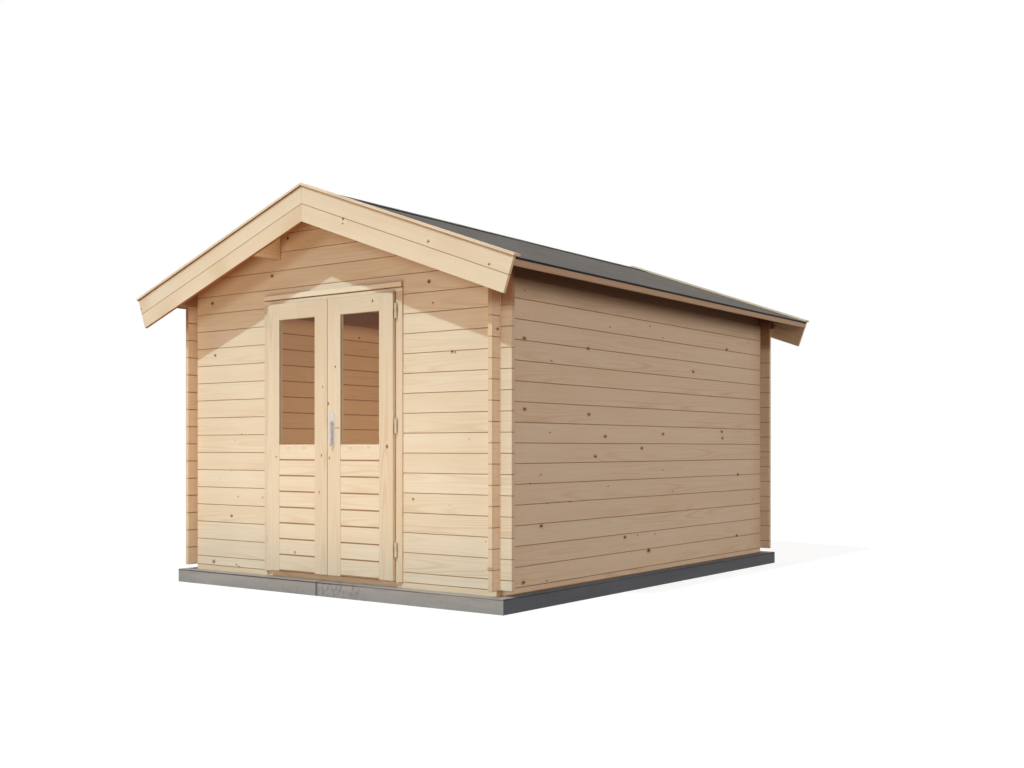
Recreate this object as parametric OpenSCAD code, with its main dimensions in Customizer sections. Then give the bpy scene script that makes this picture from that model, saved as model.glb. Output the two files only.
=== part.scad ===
// Garden log cabin: interlocking log walls on a beam foundation, gable roof and a glazed double door.
// Millimetres, +Z up. The origin is on the ground under the middle of the cabin. The door faces -Y.

/* [Walls] */
// Width between the outer faces of the side walls
wall_w = 2700; // [2400:10:3300]
// Depth between the outer faces of the front and back walls
wall_d = 3590; // [3000:10:4500]
// Height that one log adds to a wall
log_h = 121; // [115:1:128]
// Thickness of a log
log_t = 28; // [28:1:34]
// Length that the logs run past the corners
log_over = 80; // [70:1:100]
// Full logs in a side wall under the eave log
side_rows = 15; // [14:1:17]
// Chamfer along the edges of a log, which makes the joint lines
log_chamfer = 3; // [2:0.5:4]

/* [Foundation] */
// Height of the foundation beams
plinth_h = 90; // [60:5:120]
// Width of the foundation beams
plinth_w = 120; // [100:5:160]
// Distance that the foundation stands out past the walls
plinth_out = 80; // [60:1:100]
// Height of the sill timbers under the walls
sill_h = 36; // [30:1:60]
// Width of the sill timbers
sill_w = 28; // [28:1:60]

/* [Roof] */
// Pitch of the roof in degrees
pitch = 20; // [16:1:24]
// Thickness of the roof boards
board_t = 18; // [16:1:22]
// Thickness of the roofing felt
felt_t = 4; // [3:0.5:5]
// Distance from the middle of the cabin to the eaves
eave_reach = 1630; // [1500:5:1950]
// Distance from the end walls to the outer faces of the bargeboards
verge_reach = 263; // [200:1:400]
// Distance from the middle of the cabin to the ends of the bargeboards
barge_reach = 1636; // [1500:1:1960]
// Width of one bargeboard, two of which lie edge to edge
barge_h = 104; // [95:1:120]
// Thickness of the bargeboards
barge_t = 20; // [18:1:26]
// Width of the cap boards on the verges
cap_w = 60; // [50:1:140]
// Thickness of the cap boards
cap_t = 16; // [14:1:20]
// Height of the fascia board under the right eave
fascia_h = 45; // [40:1:70]
// Thickness of the purlins
purlin_t = 50; // [44:1:60]
// Distance from the middle to the inner face of a side purlin
purlin_x = 470; // [400:5:480]

/* [Door] */
// Width of the two leaves together
leaves_w = 1116; // [1000:2:1200]
// Height of a leaf
leaf_h = 1763; // [1700:1:1800]
// Thickness of a leaf
leaf_t = 40; // [38:1:44]
// Width of the stiles and the top rail of a leaf
stile_w = 112; // [90:1:125]
// Height of one board in the lower part of a leaf
panel_board_h = 104; // [90:1:110]
// Boards in the lower part of a leaf
panel_boards = 8; // [6:1:9]
// Width of the frame's face beside and over the leaves
frame_face = 50; // [40:1:60]
// Diameter of the hinge barrels
barrel_d = 16; // [14:1:18]
// Height of a whole hinge
hinge_h = 92; // [80:2:110]

/* [Hidden] */

pine = [0.87, 0.76, 0.60];
felt_grey = [0.42, 0.41, 0.41];
plinth_grey = [0.50, 0.50, 0.49];
steel = [0.76, 0.76, 0.74];
glass_tint = [0.75, 0.80, 0.78, 0.35];

// Levels and places worked out from the driving dimensions
half_w = wall_w / 2;
half_d = wall_d / 2;
base_z = plinth_h + sill_h;                          // underside of the lowest logs
tan_p = tan(pitch);
cos_p = cos(pitch);
deck_z = base_z + (side_rows + 1) * log_h + half_w * tan_p;   // underside of the roof boards at the ridge
felt_top_z = deck_z + (board_t + felt_t) / cos_p;    // top of the felt, and of the bargeboards, at the ridge
verge_y = half_d + verge_reach;                      // outer faces of the bargeboards
purlin_y = verge_y - barge_t;                        // ends of the purlins, eave logs and roof boards
front_rows = 20;                                     // full logs from the first half log to the ridge
lower_rows = 14;                                     // of those, the ones that stop at the doorway
tongue_w = 9;
tongue_h = 8;
tongue_slack = 0.5;
lap = log_h / 4;                                     // depth of each corner notch
barge_gap = 1;
seat = 0.05;                                         // play between sloping pieces that lie on each other
cap_out = 10;
cap_end = 18;
felt_drip = 6;
fascia_t = 18;
side_purlin_z = base_z + 2067;                       // underside of the side purlins
ridge_purlin_z = base_z + log_h * 18.5;              // underside of the ridge purlin, on a log joint

// Door, measured from the middle of the cabin and from the outer face of the front wall
front_y = -half_d;
face_out = 13;                                       // the frame stands out this far from the wall
leaf_out = 37;                                       // and the leaves this far
leaf_gap = 5;
leaf_w = (leaves_w - leaf_gap) / 2;
leaf_z = base_z + 7;
frame_in = leaves_w / 2 + leaf_gap;                  // half the clear width between the jambs
frame_outer = frame_in + frame_face;
head_z = leaf_z + leaf_h + leaf_gap;                 // underside of the head
head_t = 22;
head_lip = 22;                                       // height of the head's inner leg over its web
stop_w = 12;
stop_y = leaf_t - leaf_out + leaf_gap;               // front of the stops, behind the leaves
threshold_y = 10;
frame_back = log_t + face_out;
wall_cut = frame_outer - 18;                         // half the gap cut in the wall
web_out = wall_cut - 3;
cut_top_z = head_z + head_t + 4;                     // the logs settle into this gap
strip_h = 36;
strip_t = 19;
pane_z = leaf_z + 5 + panel_boards * panel_board_h;  // lower edge of the pane
pane_top_z = leaf_z + leaf_h - stile_w + 5;
pane_w = leaf_w - 2 * stile_w;
lip_t = 8;                                           // thickness of the lip in front of the glass
rebate = 10;
glass_t = 4;
axis_x = leaves_w / 2 + 13;                          // hinge axes
axis_y = front_y - 25;
hinge_z = [base_z + 149, base_z + 907, base_z + 1611];
handle_x = leaf_gap / 2 + 46;
handle_z = base_z + 981;                             // axis of the lever

// --- logs ---

// End view of a log: chamfered edges, a tongue on top and a groove underneath
function log_profile(h, tongue, groove) =
    let (c = log_chamfer, m = log_t / 2, t = tongue_w / 2, g = t + tongue_slack, d = tongue_h + 1)
    concat(
        [[0, c], [c, 0]],
        groove ? [[m - g, 0], [m - g + 1, d], [m + g - 1, d], [m + g, 0]] : [],
        [[log_t - c, 0], [log_t, c], [log_t, h - c], [log_t - c, h]],
        tongue ? [[m + t, h], [m + t - 1, h + tongue_h], [m - t + 1, h + tongue_h], [m - t, h]] : [],
        [[c, h], [0, h - c]]
    );

// A log along Y, its inner edge at x = 0, from y0 to y1
module log_along_y(y0, y1, h = log_h, tongue = true, groove = true)
    translate([0, y1, 0]) rotate([90, 0, 0]) linear_extrude(y1 - y0)
        polygon(log_profile(h, tongue, groove));

// A log along X, its front edge at y = 0, from x0 to x1
module log_along_x(x0, x1, h = log_h, tongue = true, groove = true)
    translate([x0, 0, 0]) rotate([90, 0, 90]) linear_extrude(x1 - x0)
        polygon(log_profile(h, tongue, groove));

// Corner notches, cut a quarter of a log deep into its top and its underside
module notches_along_y(z, h = log_h, bottom = true, top = true)
    for (y = [-half_d, half_d - log_t]) {
        if (bottom) translate([-half_w - 1, y, z - 1]) cube([wall_w + 2, log_t, lap + 1]);
        if (top) translate([-half_w - 1, y, z + h - lap]) cube([wall_w + 2, log_t, lap + tongue_h + 1]);
    }

module notches_along_x(z, h = log_h, bottom = true)
    for (x = [-half_w, half_w - log_t]) {
        if (bottom) translate([x, -half_d - 1, z - 1]) cube([log_t, wall_d + 2, lap + 1]);
        translate([x, -half_d - 1, z + h - lap]) cube([log_t, wall_d + 2, lap + tongue_h + 1]);
    }

// Row k of a side wall: 0 rests on the sill
module side_log(k, x)
    let (z = base_z + k * log_h) difference() {
        translate([x, 0, z]) log_along_y(-half_d - log_over, half_d + log_over, groove = k > 0);
        notches_along_y(z);
    }

module side_wall(x, first)
    for (k = [first : 2 : side_rows - 1]) side_log(k, x);

// The top log of a side wall runs out to the bargeboards as a purlin, bevelled to the roof
module eave_log(x)
    let (z = base_z + side_rows * log_h) difference() {
        intersection() {
            translate([x, 0, z]) log_along_y(-purlin_y, purlin_y, h = log_h + log_t, tongue = false);
            under_roof();
        }
        notches_along_y(z, top = false);
        for (y = [-half_d, half_d - log_t]) translate([-half_w - 1, y, z + log_h - lap])
            cube([wall_w + 2, log_t, log_h]);
    }

// Row k of an end wall: -1 is the half log on the sill
module end_log(k, x0, x1)
    let (half = k < 0, z = base_z + (k + 0.5) * log_h, z0 = half ? base_z : z, h = half ? log_h / 2 : log_h)
    difference() {
        translate([0, 0, z0]) log_along_x(x0, x1, h = h, groove = !half);
        notches_along_x(z0, h, bottom = !half);
    }

module end_rows(first, last, x0, x1, y)
    translate([0, y, 0]) for (k = [first : 2 : last]) end_log(k, x0, x1);

// Everything below the roof boards
module under_roof()
    translate([0, purlin_y + 100, 0]) rotate([90, 0, 0]) linear_extrude(2 * purlin_y + 200)
        let (x = half_w + 200, z = deck_z - seat)
        polygon([[-x, 0], [x, 0], [x, z - x * tan_p], [0, z], [-x, z - x * tan_p]]);

// Slots where the purlins pass through a gable
module purlin_slots() {
    for (x = [-purlin_x - purlin_t, purlin_x]) translate([x, -verge_y, side_purlin_z])
        cube([purlin_t, 2 * verge_y, deck_z]);
    translate([-purlin_t / 2, -verge_y, ridge_purlin_z]) cube([purlin_t, 2 * verge_y, deck_z]);
}

module doorway_cut()
    translate([-wall_cut, front_y - 1, 0]) cube([2 * wall_cut, log_t + 2, cut_top_z]);

module front_gable(first)
    difference() {
        intersection() {
            end_rows(first, front_rows - 1, -half_w - log_over, half_w + log_over, front_y);
            under_roof();
        }
        purlin_slots();
        doorway_cut();
    }

module back_wall(first)
    difference() {
        intersection() {
            end_rows(first, front_rows - 1, -half_w - log_over, half_w + log_over, half_d - log_t);
            under_roof();
        }
        purlin_slots();
    }

module left_wall_logs_a() color(pine) side_wall(-half_w, 0);
module left_wall_logs_b() color(pine) side_wall(-half_w, 1);
module right_wall_logs_a() color(pine) side_wall(half_w - log_t, 0);
module right_wall_logs_b() color(pine) side_wall(half_w - log_t, 1);
module left_eave_log() color(pine) eave_log(-half_w);
module right_eave_log() color(pine) eave_log(half_w - log_t);
module back_wall_logs_a() color(pine) back_wall(-1);
module back_wall_logs_b() color(pine) back_wall(0);
module front_left_logs_a() color(pine) end_rows(-1, lower_rows - 1, -half_w - log_over, -wall_cut, front_y);
module front_left_logs_b() color(pine) end_rows(0, lower_rows - 1, -half_w - log_over, -wall_cut, front_y);
module front_right_logs_a() color(pine) end_rows(-1, lower_rows - 1, wall_cut, half_w + log_over, front_y);
module front_right_logs_b() color(pine) end_rows(0, lower_rows - 1, wall_cut, half_w + log_over, front_y);
module front_gable_logs_a() color(pine) front_gable(lower_rows + 1);
module front_gable_logs_b() color(pine) front_gable(lower_rows);

// --- foundation ---

// A beam of two lengths that butt together, along X, with its top edges eased
module beam_pair(len, split)
    for (span = [[-len / 2, split - 1], [split + 1, len / 2]])
        translate([span[0], 0, 0]) rotate([90, 0, 90]) linear_extrude(span[1] - span[0])
            polygon([[0, 0], [plinth_w, 0], [plinth_w, plinth_h - 3], [plinth_w - 3, plinth_h],
                     [3, plinth_h], [0, plinth_h - 3]]);

module plinth_end_beams()
    color(plinth_grey) for (s = [0, 180]) rotate(s)
        translate([0, -half_d - plinth_out, 0]) beam_pair(wall_w + 2 * plinth_out, 0);

module plinth_side_beams()
    color(plinth_grey) for (s = [0, 180]) rotate(s)
        translate([half_w + plinth_out, 0, 0]) rotate(90)
            beam_pair(wall_d + 2 * plinth_out - 2 * plinth_w, 0);

// A sill timber along X from x0 to x1, its outer face at y = 0
module sill(x0, x1)
    translate([x0, 0, plinth_h]) rotate([90, 0, 90]) linear_extrude(x1 - x0)
        polygon([[0, 0], [sill_w, 0], [sill_w, sill_h], [2, sill_h], [0, sill_h - 2]]);

// The front sill stops at the threshold on each side of the doorway
module end_sills()
    color(pine) {
        translate([0, -half_d, 0]) sill(-half_w + sill_w, -wall_cut - 4);
        translate([0, -half_d, 0]) sill(wall_cut + 4, half_w - sill_w);
        rotate(180) translate([0, -half_d, 0]) sill(-half_w + sill_w, half_w - sill_w);
    }

module side_sills()
    color(pine) for (s = [0, 180]) rotate(s)
        translate([half_w, 0, 0]) rotate(90) sill(-half_d + sill_w, half_d - sill_w);

// --- roof ---

// Half of the roof in end view, between two heights above the underside of the boards, out to x1
module roof_layer(low, high, x1, y0, y1, x0 = 0)
    translate([0, y1, 0]) rotate([90, 0, 0]) linear_extrude(y1 - y0)
        polygon([[x0, deck_z + low / cos_p - x0 * tan_p], [x1, deck_z + low / cos_p - x1 * tan_p],
                 [x1, deck_z + high / cos_p - x1 * tan_p], [x0, deck_z + high / cos_p - x0 * tan_p]]);

// A board that lies along the slope with square-cut ends, from the ridge line down to a reach at its top
module sloping_board(top_z, h, reach, y0, y1, gap = 0)
    translate([0, y1, 0]) rotate([90, 0, 0]) linear_extrude(y1 - y0)
        polygon([[gap, top_z - gap * tan_p], [reach, top_z - reach * tan_p],
                 [reach - h * sin(pitch), top_z - reach * tan_p - h * cos_p],
                 [gap, top_z - gap * tan_p - h / cos_p]]);

module both_slopes() {
    children();
    mirror([1, 0, 0]) children();
}

module right_roof_boards()
    color(pine) roof_layer(0, board_t, eave_reach - fascia_t, -purlin_y, purlin_y);

module left_roof_boards() mirror([1, 0, 0]) right_roof_boards();

module right_roof_felt()
    color(felt_grey) roof_layer(board_t, board_t + felt_t, eave_reach + felt_drip, -purlin_y, purlin_y);

module left_roof_felt() mirror([1, 0, 0]) right_roof_felt();

// A board along the right eave, in front of the ends of the roof boards
module fascia(h)
    translate([0, purlin_y, 0]) rotate([90, 0, 0]) linear_extrude(2 * purlin_y)
        let (z = deck_z + board_t / cos_p, x0 = eave_reach - fascia_t, x1 = eave_reach)
        polygon([[x0, z - x1 * tan_p - h], [x1, z - x1 * tan_p - h],
                 [x1, z - x1 * tan_p], [x0, z - x0 * tan_p]]);

// The left one is an edge strip that only covers the ends of the boards
module eave_fascias()
    color(pine) {
        fascia(fascia_h);
        mirror([1, 0, 0]) fascia(board_t / cos_p);
    }

module bargeboards(y0, y1)
    both_slopes() for (i = [0, 1])
        sloping_board(felt_top_z - i * (barge_h + barge_gap) / cos_p, barge_h,
                      barge_reach - i * (barge_h + barge_gap) * sin(pitch), y0, y1, gap = barge_gap / 2);

module front_bargeboards() color(pine) bargeboards(-verge_y, -purlin_y);
module back_bargeboards() color(pine) bargeboards(purlin_y, verge_y);

module cap_boards(y0, y1)
    both_slopes() sloping_board(felt_top_z + (cap_t + seat) / cos_p, cap_t, eave_reach + cap_end, y0, y1,
                                gap = barge_gap / 2);

module front_cap_boards() color(pine) cap_boards(-verge_y - cap_out, -verge_y - cap_out + cap_w);
module back_cap_boards() color(pine) cap_boards(verge_y + cap_out - cap_w, verge_y + cap_out);

// A purlin from x0, from a height up to the roof boards
module purlin(x0, z)
    intersection() {
        translate([x0, -purlin_y, z]) cube([purlin_t, 2 * purlin_y, 400]);
        under_roof();
    }

module purlins()
    color(pine) {
        both_slopes() purlin(purlin_x, side_purlin_z);
        purlin(-purlin_t / 2, ridge_purlin_z);
    }

// --- door frame ---

// The jambs grip the cut ends of the logs; a step behind the leaf is its stop
module door_jambs()
    color(pine) both_slopes() translate([0, front_y, base_z]) linear_extrude(head_z - base_z)
        polygon([[frame_in, -face_out], [frame_outer, -face_out], [frame_outer, 0], [web_out, 0],
                 [web_out, log_t], [frame_outer, log_t], [frame_outer, frame_back],
                 [frame_in - stop_w, frame_back], [frame_in - stop_w, stop_y], [frame_in, stop_y]]);

module door_head()
    color(pine) translate([0, front_y, head_z]) {
        translate([-frame_outer, -face_out, 0]) cube([2 * frame_outer, face_out, head_t]);
        translate([-web_out, -1, 0]) cube([2 * web_out, log_t + 2, head_t]);
        translate([-frame_outer, log_t, 0]) cube([2 * frame_outer, face_out, head_t + head_lip]);
        translate([-frame_in + stop_w, stop_y, -stop_w])
            cube([2 * (frame_in - stop_w), frame_back - stop_y, stop_w + 1]);
    }

// The threshold closes the gap in the front sill and stops the leaves at the bottom
module door_threshold()
    color(pine) translate([0, front_y, 0]) {
        translate([-wall_cut - 3, threshold_y, plinth_h])
            cube([2 * (wall_cut + 3), frame_back - threshold_y, sill_h]);
        translate([-frame_in + stop_w, 0, base_z]) rotate([90, 0, 90])
            linear_extrude(2 * (frame_in - stop_w))
                polygon([[threshold_y, -1], [frame_back, -1], [frame_back, 26], [threshold_y + 8, 26],
                         [threshold_y, 20]]);
    }

module door_drip_strip()
    color(pine) translate([-frame_outer + 3, front_y, head_z + head_t + 3]) rotate([90, 0, 90])
        linear_extrude(2 * (frame_outer - 3))
            polygon([[0, 0], [0, strip_h], [-strip_t + 5, strip_h], [-strip_t, strip_h - 5], [-strip_t, 0]]);

// --- leaves ---

// The right leaf: drawn from x = 0 at the meeting edge to leaf_w at the hinges, front face at y = 0
module leaf_place() translate([leaf_gap / 2, front_y - leaf_out, 0]) children();

module leaf_frame()
    leaf_place() difference() {
        translate([0, 0, leaf_z]) cube([leaf_w, leaf_t, leaf_h]);
        translate([stile_w, -1, leaf_z - 1]) cube([pane_w, leaf_t + 2, pane_z - leaf_z + 2]);
        translate([stile_w, -1, pane_z]) cube([pane_w, lip_t + 2, pane_top_z - pane_z]);
        translate([stile_w - rebate, lip_t, pane_z - rebate])
            cube([pane_w + 2 * rebate, leaf_t, pane_top_z + 2 * rebate - pane_z]);
    }

// Tongued boards with V joints between them, as one panel, rebated along the top for the glass
module leaf_boards()
    leaf_place() translate([stile_w, 0, 0]) rotate([90, 0, 90]) linear_extrude(pane_w)
        let (y0 = 3, y1 = leaf_t - 6, v = 4, z0 = leaf_z + 5)
        polygon(concat(
            [[y0, z0], [y1, z0], [y1, pane_z - rebate]],
            [[lip_t, pane_z - rebate], [lip_t, pane_z], [y0, pane_z]],
            [for (i = [panel_boards - 1 : -1 : 1], p = [[y0, v], [y0 + v, 0], [y0, -v]])
                [p[0], z0 + i * panel_board_h + p[1]]]
        ));

module leaf_glass()
    leaf_place() translate([stile_w - rebate + 1, lip_t, pane_z - rebate + 1])
        cube([pane_w + 2 * rebate - 2, glass_t, pane_top_z + 2 * rebate - pane_z - 2]);

module leaf_beads()
    leaf_place() translate([stile_w - rebate, lip_t + glass_t, pane_z - rebate]) difference() {
        cube([pane_w + 2 * rebate, 12, pane_top_z + 2 * rebate - pane_z]);
        translate([rebate, -1, rebate]) cube([pane_w, 14, pane_top_z - pane_z]);
    }

// Barrel halves of the three hinges: the lower halves are screwed to the jamb, the upper ones to the leaf
module hinge_halves(upper)
    for (z = hinge_z) {
        translate([axis_x, axis_y, z + (upper ? hinge_h / 2 + 0.5 : 0)])
            cylinder(d = barrel_d, h = hinge_h / 2 - 0.5, $fn = 32);
        translate([axis_x, axis_y, z + hinge_h * (upper ? 0.75 : 0.25)])
            if (upper) rotate([0, -90, 0]) cylinder(d = 8, h = axis_x - leaves_w / 2, $fn = 24);
            else rotate([-90, 0, 0]) cylinder(d = 8, h = front_y - face_out - axis_y, $fn = 24);
    }

module frame_hinge_halves() color(steel) both_slopes() hinge_halves(false);
module right_leaf_hinges() color(steel) hinge_halves(true);
module left_leaf_hinges() mirror([1, 0, 0]) right_leaf_hinges();
module right_leaf_frame() color(pine) leaf_frame();
module left_leaf_frame() mirror([1, 0, 0]) right_leaf_frame();
module right_leaf_boards() color(pine) leaf_boards();
module left_leaf_boards() mirror([1, 0, 0]) right_leaf_boards();
module right_leaf_glass() color(glass_tint) leaf_glass();
module left_leaf_glass() mirror([1, 0, 0]) right_leaf_glass();
module right_leaf_beads() color(pine) leaf_beads();
module left_leaf_beads() mirror([1, 0, 0]) right_leaf_beads();

// Long backplate with a round boss for the lever
module handle_plate()
    color(steel) translate([handle_x, front_y - leaf_out, 0]) rotate([90, 0, 0]) {
        linear_extrude(4) translate([0, handle_z - 46]) {
            translate([-18, -90]) square([36, 180]);
            for (z = [-90, 90]) translate([0, z]) circle(r = 18, $fn = 32);
        }
        translate([0, handle_z, 3]) cylinder(r = 11, h = 9, $fn = 32);
    }

// The lever hangs down from its neck and its tip turns back towards the door
module handle_lever()
    color(steel) translate([handle_x, front_y - leaf_out - 12.4, handle_z]) {
        rotate([90, 0, 0]) cylinder(r = 8, h = 20, $fn = 32);
        translate([-10, -21.6, -150]) cube([20, 12, 158]);
        translate([-10, -21.6, -150]) cube([20, 20, 9]);
    }

plinth_end_beams();
plinth_side_beams();
end_sills();
side_sills();
left_wall_logs_a();
left_wall_logs_b();
right_wall_logs_a();
right_wall_logs_b();
left_eave_log();
right_eave_log();
back_wall_logs_a();
back_wall_logs_b();
front_left_logs_a();
front_left_logs_b();
front_right_logs_a();
front_right_logs_b();
front_gable_logs_a();
front_gable_logs_b();
purlins();
left_roof_boards();
right_roof_boards();
left_roof_felt();
right_roof_felt();
eave_fascias();
front_bargeboards();
back_bargeboards();
front_cap_boards();
back_cap_boards();
door_jambs();
door_head();
door_threshold();
door_drip_strip();
frame_hinge_halves();
left_leaf_frame();
left_leaf_boards();
left_leaf_glass();
left_leaf_beads();
left_leaf_hinges();
right_leaf_frame();
right_leaf_boards();
right_leaf_glass();
right_leaf_beads();
right_leaf_hinges();
handle_plate();
handle_lever();
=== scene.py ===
import math
import bmesh
import bpy
import numpy as np
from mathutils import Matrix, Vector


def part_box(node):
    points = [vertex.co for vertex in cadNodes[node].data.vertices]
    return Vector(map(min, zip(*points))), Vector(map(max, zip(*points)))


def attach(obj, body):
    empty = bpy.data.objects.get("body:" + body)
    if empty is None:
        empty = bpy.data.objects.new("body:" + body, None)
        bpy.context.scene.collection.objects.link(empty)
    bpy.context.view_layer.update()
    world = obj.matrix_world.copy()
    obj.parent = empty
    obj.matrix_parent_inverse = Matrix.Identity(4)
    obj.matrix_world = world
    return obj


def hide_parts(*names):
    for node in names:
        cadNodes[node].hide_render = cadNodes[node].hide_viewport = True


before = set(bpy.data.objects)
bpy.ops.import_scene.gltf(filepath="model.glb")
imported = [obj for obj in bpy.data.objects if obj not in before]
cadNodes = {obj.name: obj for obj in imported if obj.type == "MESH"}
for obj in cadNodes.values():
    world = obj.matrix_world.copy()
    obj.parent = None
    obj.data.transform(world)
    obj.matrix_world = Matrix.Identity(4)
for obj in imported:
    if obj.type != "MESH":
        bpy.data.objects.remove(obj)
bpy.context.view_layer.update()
print("stage 1: frame loaded,", len(cadNodes), "nodes")

# Camera: its place in metres, its heading in degrees, its lens in millimetres, and its upward shift

cameraSetup = {"place": (5.334, -7.142, 0.943), "heading": 36.12, "lens": 40.95, "rise": 0.0626}


def addObject(name, data):
    thing = bpy.data.objects.new(name, data)
    bpy.context.scene.collection.objects.link(thing)
    return thing


camera = addObject("camera", bpy.data.cameras.new("camera"))
camera.location = cameraSetup["place"]
camera.rotation_euler = (math.radians(90), 0, math.radians(cameraSetup["heading"]))
camera.data.lens = cameraSetup["lens"]
camera.data.shift_y = cameraSetup["rise"]
camera.data.clip_end = 200
bpy.context.scene.camera = camera
bpy.context.scene.view_settings.view_transform = "Standard"


# Shader node helpers

def addNode(tree, kind, inputs=None, **settings):
    # One node with its settings; an input is a number, a colour or another node's output
    node = tree.nodes.new(kind)
    for key, value in settings.items():
        setattr(node, key, value)
    for key, value in (inputs or {}).items():
        if isinstance(value, bpy.types.NodeSocket):
            tree.links.new(value, node.inputs[key])
        else:
            node.inputs[key].default_value = value
    return node


def calc(tree, operation, *values):
    return addNode(tree, "ShaderNodeMath", dict(enumerate(values)), operation=operation).outputs[0]


def plus(tree, a, b):
    return calc(tree, "ADD", a, b)


def times(tree, a, b):
    return calc(tree, "MULTIPLY", a, b)


def scaleAdd(tree, value, factor, offset):
    return calc(tree, "MULTIPLY_ADD", value, factor, offset)


def vectorCalc(tree, operation, *values):
    # A vector, or the number that a length or a distance comes to
    outputs = addNode(tree, "ShaderNodeVectorMath", dict(enumerate(values)), operation=operation).outputs
    return outputs["Value"] if operation in ("LENGTH", "DISTANCE") else outputs[0]


def distanceTo(tree, value, place):
    return calc(tree, "ABSOLUTE", calc(tree, "SUBTRACT", value, place))


def stretch(tree, vector, x, y, z):
    return vectorCalc(tree, "MULTIPLY", vector, (x, y, z))


def ramp(tree, value, low, high, outLow=0.0, outHigh=1.0):
    # Smooth step from low to high, which may be the other way round
    return addNode(tree, "ShaderNodeMapRange", {"Value": value, "From Min": low, "From Max": high,
                   "To Min": outLow, "To Max": outHigh}, interpolation_type="SMOOTHSTEP").outputs[0]


def mixColor(tree, factor, a, b, mode="MIX"):
    return addNode(tree, "ShaderNodeMix", {0: factor, 6: a, 7: b}, data_type="RGBA",
                   blend_type=mode).outputs[2]


def noise(tree, vector, scale, detail=2.0, roughness=0.5):
    # A scale of three numbers draws the noise out
    if isinstance(scale, tuple):
        vector, scale = stretch(tree, vector, *scale), 1.0
    return addNode(tree, "ShaderNodeTexNoise", {"Vector": vector, "Scale": scale, "Detail": detail,
                   "Roughness": roughness}).outputs[0]


def split(tree, vector):
    return addNode(tree, "ShaderNodeSeparateXYZ", {0: vector}).outputs


def join(tree, x, y, z):
    return addNode(tree, "ShaderNodeCombineXYZ", {0: x, 1: y, 2: z}).outputs[0]


def coordinates(tree):
    return addNode(tree, "ShaderNodeTexCoord").outputs


def grey(tree, value):
    return addNode(tree, "ShaderNodeCombineColor", {0: value, 1: value, 2: value}).outputs[0]


def newGroup(name, inputs, outputs):
    tree = bpy.data.node_groups.new(name, "ShaderNodeTree")
    for socketName, kind, value in inputs:
        socket = tree.interface.new_socket(socketName, in_out="INPUT", socket_type="NodeSocket" + kind)
        if value is not None:
            socket.default_value = value
    for socketName, kind in outputs:
        tree.interface.new_socket(socketName, in_out="OUTPUT", socket_type="NodeSocket" + kind)
    return tree, addNode(tree, "NodeGroupInput").outputs, addNode(tree, "NodeGroupOutput").inputs


def useGroup(tree, group, **inputs):
    return addNode(tree, "ShaderNodeGroup", inputs, node_tree=group).outputs


def newMaterial(name, **sockets):
    # A Principled material; a socket name is given in camelCase
    material = bpy.data.materials.new(name)
    material.use_nodes = True
    tree = material.node_tree
    tree.nodes.clear()
    shader = addNode(tree, "ShaderNodeBsdfPrincipled")
    addNode(tree, "ShaderNodeOutputMaterial", {"Surface": shader.outputs[0]})
    names = {socket.name.replace(" ", "").lower(): socket for socket in shader.inputs}
    for key, value in sockets.items():
        names[key.lower()].default_value = value
    return material, tree, shader


def paint(tree, shader, color, roughness):
    tree.links.new(color, shader.inputs["Base Color"])
    tree.links.new(roughness, shader.inputs["Roughness"])


def addBump(tree, shader, height, distance, strength=1.0):
    bump = addNode(tree, "ShaderNodeBump", {"Strength": strength, "Distance": distance, "Height": height})
    tree.links.new(bump.outputs[0], shader.inputs["Normal"])


def rgb(red, green, blue):
    # A colour picked in 0-255 sRGB, as the linear colour that the sockets take
    c = np.array([red, green, blue]) / 255
    return (*np.where(c <= 0.04045, c / 12.92, ((c + 0.055) / 1.055) ** 2.4), 1.0)


# Pine. Every board's own frame has X along the grain, Y into the board and Z across its face.

woodColors = {"pale": rgb(240, 221, 193), "warm": rgb(229, 201, 163), "line": rgb(213, 178, 134),
              "knotCore": rgb(88, 44, 24), "knotHalo": rgb(176, 116, 74), "joint": rgb(154, 98, 54),
              "endGrain": rgb(226, 198, 158)}
grainSetup = {"ringWidth": 0.0105, "wander": 0.05, "fiber": 240.0, "ringLow": 0.05, "ringHigh": 0.42,
              "ringPower": 2.2, "knotBend": 8.0, "rowShift": 17.0, "sideShift": 3.1, "bump": 0.0006,
              "bumpStrength": 0.25}
knotSetup = {"cells": 3.2, "stretch": 0.75, "small": 0.0035, "large": 0.0095, "swell": 1.15, "rough": 0.9,
             "haloEnds": 2.2, "haloFull": 1.0, "halo": 0.5, "coreEnds": 1.1, "coreFull": 0.55}
lineSetup = {"ends": 0.0034, "full": 0.0010, "strength": 0.8, "depth": 4.0}
farKnot, farAway = 9.0, 50.0
white = (1, 1, 1, 1)


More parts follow.
